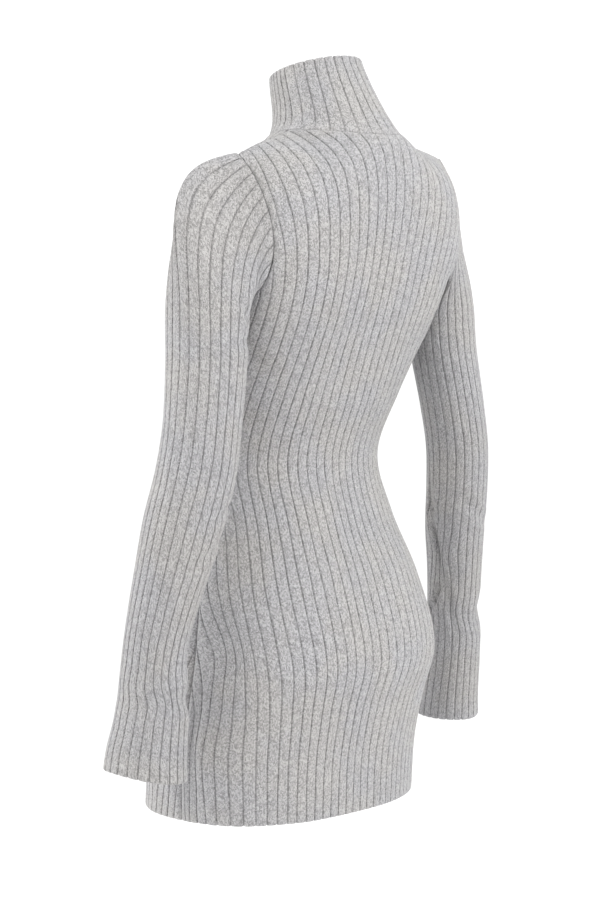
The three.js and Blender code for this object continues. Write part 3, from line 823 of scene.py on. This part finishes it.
def noise_at(nodes, links, vector, scale, detail):
    node = nodes.new("ShaderNodeTexNoise")
    links.new(vector, node.inputs["Vector"])
    node.inputs["Scale"].default_value = scale
    node.inputs["Detail"].default_value = detail
    return node.outputs["Fac"]


def marl_knit():
    knit = bpy.data.materials.new("marl_knit")
    knit.use_nodes = True
    nodes, links = knit.node_tree.nodes, knit.node_tree.links
    nodes.clear()
    output = nodes.new("ShaderNodeOutputMaterial")
    shader = nodes.new("ShaderNodeBsdfPrincipled")
    links.new(shader.outputs["BSDF"], output.inputs["Surface"])
    shader.inputs["Roughness"].default_value = 0.92
    shader.inputs["Specular IOR Level"].default_value = 0.2
    shader.inputs["Sheen Weight"].default_value = 0.22
    shader.inputs["Sheen Roughness"].default_value = 0.55
    uv = nodes.new("ShaderNodeUVMap")
    uv.uv_map = "knit"
    split = nodes.new("ShaderNodeSeparateXYZ")
    links.new(uv.outputs["UV"], split.inputs[0])
    rib, run = split.outputs["X"], split.outputs["Y"]

    def math_node(operation, first, second=None):
        return link_value(nodes, links, operation, first, second)

    # Flecks of lighter and darker fibre lie along the yarn.
    stretched = nodes.new("ShaderNodeMapping")
    links.new(uv.outputs["UV"], stretched.inputs["Vector"])
    stretched.inputs["Scale"].default_value = FLECK_STRETCH
    fleck = noise_at(nodes, links, stretched.outputs["Vector"], FLECK_SCALE, 2.0)
    fine = noise_at(nodes, links, stretched.outputs["Vector"], FINE_SCALE, 2.0)
    fleck_tone = math_node("SUBTRACT", ranged(nodes, links, fleck, 0.33, 0.67, 0.0, 1.0), 0.5)
    place = nodes.new("ShaderNodeTexCoord")
    cloud = noise_at(nodes, links, place.outputs["Object"], CLOUD_SCALE, 3.0)

    # Distance from the middle of the rib, 0 there and 1 in the groove, which is uneven.
    phase = math_node("FRACT", rib)
    off_middle = math_node("MULTIPLY", math_node("ABSOLUTE", math_node("SUBTRACT", phase, 0.5)), 2.0)
    ragged = math_node("MULTIPLY", math_node("SUBTRACT", fine, 0.5), GROOVE_RAGGED)
    off_middle = math_node("ADD", off_middle, ragged)
    groove = ranged(nodes, links, off_middle, GROOVE_FROM, 1.0, 0.0, 1.0)
    # Painted shade along the grooves, a little deeper on some ribs than on others.
    number = nodes.new("ShaderNodeTexWhiteNoise")
    number.noise_dimensions = "1D"
    links.new(math_node("ROUND", rib), number.inputs["W"])
    painted_groove_shade = ranged(nodes, links, number.outputs["Value"], 0.0, 1.0, *GROOVE_PAINTED_SHADE)

    # Wales of V stitches on each rib: a height for the bump and for painted shade between the stitches.
    wale = math_node("FRACT", math_node("MULTIPLY", rib, WALES))
    leg = math_node("MULTIPLY", math_node("ABSOLUTE", math_node("SUBTRACT", wale, 0.5)), 2.0)
    slant = math_node("MULTIPLY", leg, COURSE_SLANT)
    course = math_node("ADD", math_node("MULTIPLY", run, COURSES), slant)
    stitch = math_node("SINE", math_node("MULTIPLY", course, 2 * math.pi))
    stitch = ranged(nodes, links, stitch, -1.0, 0.6, 0.0, 1.0)
    between = ranged(nodes, links, leg, 0.55, 1.0, 1.0, 0.0)
    middle = ranged(nodes, links, leg, 0.0, 0.22, 0.35, 1.0)
    height = math_node("MULTIPLY", math_node("MULTIPLY", between, middle), stitch)

    # Every leg of a stitch is a short run of marl yarn with a tone of its own.
    leg_place = nodes.new("ShaderNodeCombineXYZ")
    links.new(math_node("FLOOR", math_node("MULTIPLY", rib, YARN_ACROSS)), leg_place.inputs["X"])
    links.new(math_node("FLOOR", math_node("MULTIPLY", course, YARN_ALONG)), leg_place.inputs["Y"])
    yarn = nodes.new("ShaderNodeTexWhiteNoise")
    yarn.noise_dimensions = "2D"
    links.new(leg_place.outputs["Vector"], yarn.inputs["Vector"])
    yarn_tone = math_node("SUBTRACT", yarn.outputs["Value"], 0.5)

    # Random marl tones, plus a painted highlight and painted shade taken from the stitch height.
    tone = math_node("ADD", 1.0, math_node("MULTIPLY", fleck_tone, FLECK_TONE))
    for value, share in (
        (yarn_tone, YARN_TONE),
        (math_node("SUBTRACT", fine, 0.5), FINE_TONE),
        (math_node("SUBTRACT", cloud, 0.5), CLOUD_TONE),
        (math_node("SUBTRACT", height, 0.4), STITCH_PAINTED_SHADE),
    ):
        tone = math_node("ADD", tone, math_node("MULTIPLY", value, share))
    # Painted shade: the tone is darkened in the grooves, where shade falls.
    tone = math_node("MULTIPLY", tone, math_node("SUBTRACT", 1.0, math_node("MULTIPLY", groove, painted_groove_shade)))

    warm = nodes.new("ShaderNodeMix")
    warm.data_type = "RGBA"
    links.new(ranged(nodes, links, cloud, 0.35, 0.65, 0.0, 1.0), warm.inputs["Factor"])
    warm.inputs["A"].default_value = COOL_GREY
    warm.inputs["B"].default_value = WARM_GREY
    colour = nodes.new("ShaderNodeVectorMath")
    colour.operation = "SCALE"
    links.new(warm.outputs["Result"], colour.inputs[0])
    links.new(tone, colour.inputs["Scale"])
    links.new(colour.outputs["Vector"], shader.inputs["Base Color"])

    relief = math_node("ADD", math_node("MULTIPLY", height, 0.7), math_node("MULTIPLY", fine, 0.6))
    relief = math_node("SUBTRACT", relief, math_node("MULTIPLY", groove, 1.2))
    bump = nodes.new("ShaderNodeBump")
    bump.inputs["Strength"].default_value = 0.7
    bump.inputs["Distance"].default_value = BUMP_HEIGHT
    links.new(relief, bump.inputs["Height"])
    links.new(bump.outputs["Normal"], shader.inputs["Normal"])
    return knit


# Creases: (rib, up, rib, up, depth, width, ridge) along the cloth.
BACK_CREASES = (
    (17.5, -0.62, 17.0, -0.76, 0.0030, 0.010, 0.0012),
    (14.5, -0.215, 9.5, -0.275, 0.0016, 0.008, 0.0008),
    (14.0, -0.185, 10.5, -0.150, 0.0014, 0.008, 0.0007),
    (-14.3, -0.210, -10.0, -0.262, 0.0015, 0.008, 0.0008),
    (-16.5, -0.65, -17.2, -0.75, 0.0018, 0.011, 0.0008),
)
FRONT_CREASES = (
    (16.5, -0.205, 10.5, -0.250, 0.0020, 0.009, 0.0009),
    (-16.3, -0.200, -11.0, -0.258, 0.0018, 0.009, 0.0009),
    (13.5, -0.33, 9.5, -0.37, 0.0014, 0.009, 0.0007),
    (-13.2, -0.34, -9.0, -0.36, 0.0012, 0.008, 0.0006),
    (17.2, -0.63, 17.8, -0.75, 0.0022, 0.011, 0.0010),
    (-17.0, -0.62, -16.4, -0.74, 0.0018, 0.011, 0.0008),
)
LEFT_SLEEVE_CREASES = (
    (3.0, -0.44, 9.0, -0.475, 0.0022, 0.007, 0.0010),
    (2.0, -0.405, 7.5, -0.425, 0.0016, 0.006, 0.0008),
    (22.0, -0.43, 26.5, -0.470, 0.0018, 0.007, 0.0008),
    (2.0, -0.612, 8.0, -0.622, 0.0028, 0.010, 0.0010),
    (8.0, -0.624, 15.0, -0.612, 0.0012, 0.012, 0.0005),
    (3.2, -0.615, 3.3, -0.720, 0.0030, 0.006, 0.0014),
    (3.0, -0.172, 6.0, -0.200, -0.0030, 0.012, 0.0),
    (4.0, -0.216, 6.2, -0.184, 0.0024, 0.004, 0.0012),
    (2.5, -0.238, 6.5, -0.226, 0.0018, 0.007, 0.0006),
)
RIGHT_SLEEVE_CREASES = (
    (2.0, -0.430, 8.0, -0.462, 0.0020, 0.007, 0.0010),
    (21.5, -0.44, 26.0, -0.47, 0.0018, 0.007, 0.0008),
    (22.2, -0.420, 24.1, -0.512, 0.0038, 0.006, 0.0018),
    (22.2, -0.580, 24.2, -0.540, 0.0036, 0.005, 0.0018),
    (0.8, -0.540, 3.2, -0.600, 0.0018, 0.007, 0.0009),
    (3.0, -0.582, 10.0, -0.572, 0.0040, 0.015, 0.0006),
    (1.2, -0.250, 6.5, -0.222, 0.0012, 0.007, 0.0006),
    (3.6, -0.130, 0.6, -0.205, 0.0026, 0.005, 0.0013),
)

# Pushes: (rib, up, ribs, height, push), where a fold moves the ribs along the cloth.
BACK_PUSHES = (
    (15.3, -0.572, 2.2, 0.036, -0.85),
    (16.2, -0.695, 3.0, 0.048, 1.10),
    (16.5, -0.765, 3.2, 0.046, 0.85),
    (-16.0, -0.66, 2.5, 0.050, 0.50),
)
FRONT_PUSHES = (
    (16.0, -0.60, 2.5, 0.045, -0.60),
    (-15.5, -0.62, 2.5, 0.050, 0.60),
)
LEFT_SLEEVE_PUSHES = (
    (6.5, -0.590, 2.4, 0.022, 0.45),
    (8.5, -0.618, 3.0, 0.014, -0.35),
    (11.5, -0.600, 2.5, 0.018, 0.25),
)
RIGHT_SLEEVE_PUSHES = (
    (22.4, -0.500, 1.6, 0.030, 0.75),
    (25.6, -0.505, 1.6, 0.024, -0.50),
    (27.5, -0.574, 2.4, 0.016, -0.45),
    (29.5, -0.600, 2.4, 0.020, 0.30),
)

pieces = {
    "back": build_panel(BACK, "back_panel_knit", BACK_CREASES, BACK_PUSHES, 1),
    "front": build_panel(FRONT, "front_panel_knit", FRONT_CREASES, FRONT_PUSHES, 2),
    "left": build_sleeve(
        "left_sleeve_knit", "left_sleeve", 1, LEFT_SLEEVE_CREASES, LEFT_SLEEVE_PUSHES, 4
    ),
    "right": build_sleeve(
        "right_sleeve_knit", "right_sleeve", -1, RIGHT_SLEEVE_CREASES, RIGHT_SLEEVE_PUSHES, 6
    ),
    "collar": build_collar("collar_knit", "collar"),
}
knit = marl_knit()
for piece in pieces.values():
    piece.data.materials.append(knit)
    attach(piece, "root")


# The plain pale floor, where a standing wearer's feet would be.
FLOOR = -1.45
FLOOR_SIZE = 60


def plain_white(name, colour):
    paint = bpy.data.materials.new(name)
    paint.use_nodes = True
    shader = paint.node_tree.nodes["Principled BSDF"]
    shader.inputs["Base Color"].default_value = colour
    shader.inputs["Roughness"].default_value = 0.9
    return paint


bpy.ops.mesh.primitive_plane_add(size=FLOOR_SIZE, location=(0, 0, FLOOR))
floor = bpy.context.object
floor.name = "studio_floor"
floor.data.materials.append(plain_white("pale_floor", (0.92, 0.92, 0.92, 1)))

# Soft studio light.
world = bpy.data.worlds.new("studio")
world.use_nodes = True
world.node_tree.nodes["Background"].inputs["Color"].default_value = (1, 1, 1, 1)
world.node_tree.nodes["Background"].inputs["Strength"].default_value = 1.15
bpy.context.scene.world = world
bpy.context.scene.view_settings.view_transform = "Standard"

TARGET = Vector((-0.0106, -0.0563, -0.3659))
AZIMUTH = math.radians(132)
ELEVATION = math.radians(5)
DISTANCE = 3.0
FOCAL_PIXELS = 2610
PICTURE_HEIGHT = 900
SENSOR = 36

# Lights: (name, azimuth, elevation, distance, size, power), in degrees, metres and watts.
LIGHTS = (
    ("key", 158, 42, 2.8, 1.4, 44),
    ("fill", 92, 25, 3.2, 1.6, 12),
    ("right_fill", 205, 12, 3.0, 1.6, 25),
    ("front_fill", 28, 8, 2.6, 1.6, 52),
)


def direction(azimuth, elevation):
    return Vector((
        math.sin(azimuth) * math.cos(elevation),
        -math.cos(azimuth) * math.cos(elevation),
        math.sin(elevation),
    ))


def soft_light(name, azimuth, elevation, distance, size, power):
    lamp = bpy.data.lights.new(name, "AREA")
    lamp.shape = "SQUARE"
    lamp.size = size
    lamp.energy = power
    holder = bpy.data.objects.new(name, lamp)
    back = direction(math.radians(azimuth), math.radians(elevation))
    holder.location = TARGET + back * distance
    holder.rotation_mode = "QUATERNION"
    holder.rotation_quaternion = (-back).to_track_quat("-Z", "Y")
    bpy.context.scene.collection.objects.link(holder)


for light in LIGHTS:
    soft_light(*light)

# The camera stands behind the wearer's left shoulder, as in the photo.
camera_data = bpy.data.cameras.new("camera")
camera_data.sensor_width = SENSOR
camera_data.lens = FOCAL_PIXELS / PICTURE_HEIGHT * SENSOR
camera = bpy.data.objects.new("camera", camera_data)
back = direction(AZIMUTH, ELEVATION)
camera.location = TARGET + back * DISTANCE
camera.rotation_mode = "QUATERNION"
camera.rotation_quaternion = (-back).to_track_quat("-Z", "Y")
bpy.context.scene.collection.objects.link(camera)
bpy.context.scene.camera = camera

bpy.context.view_layer.update()
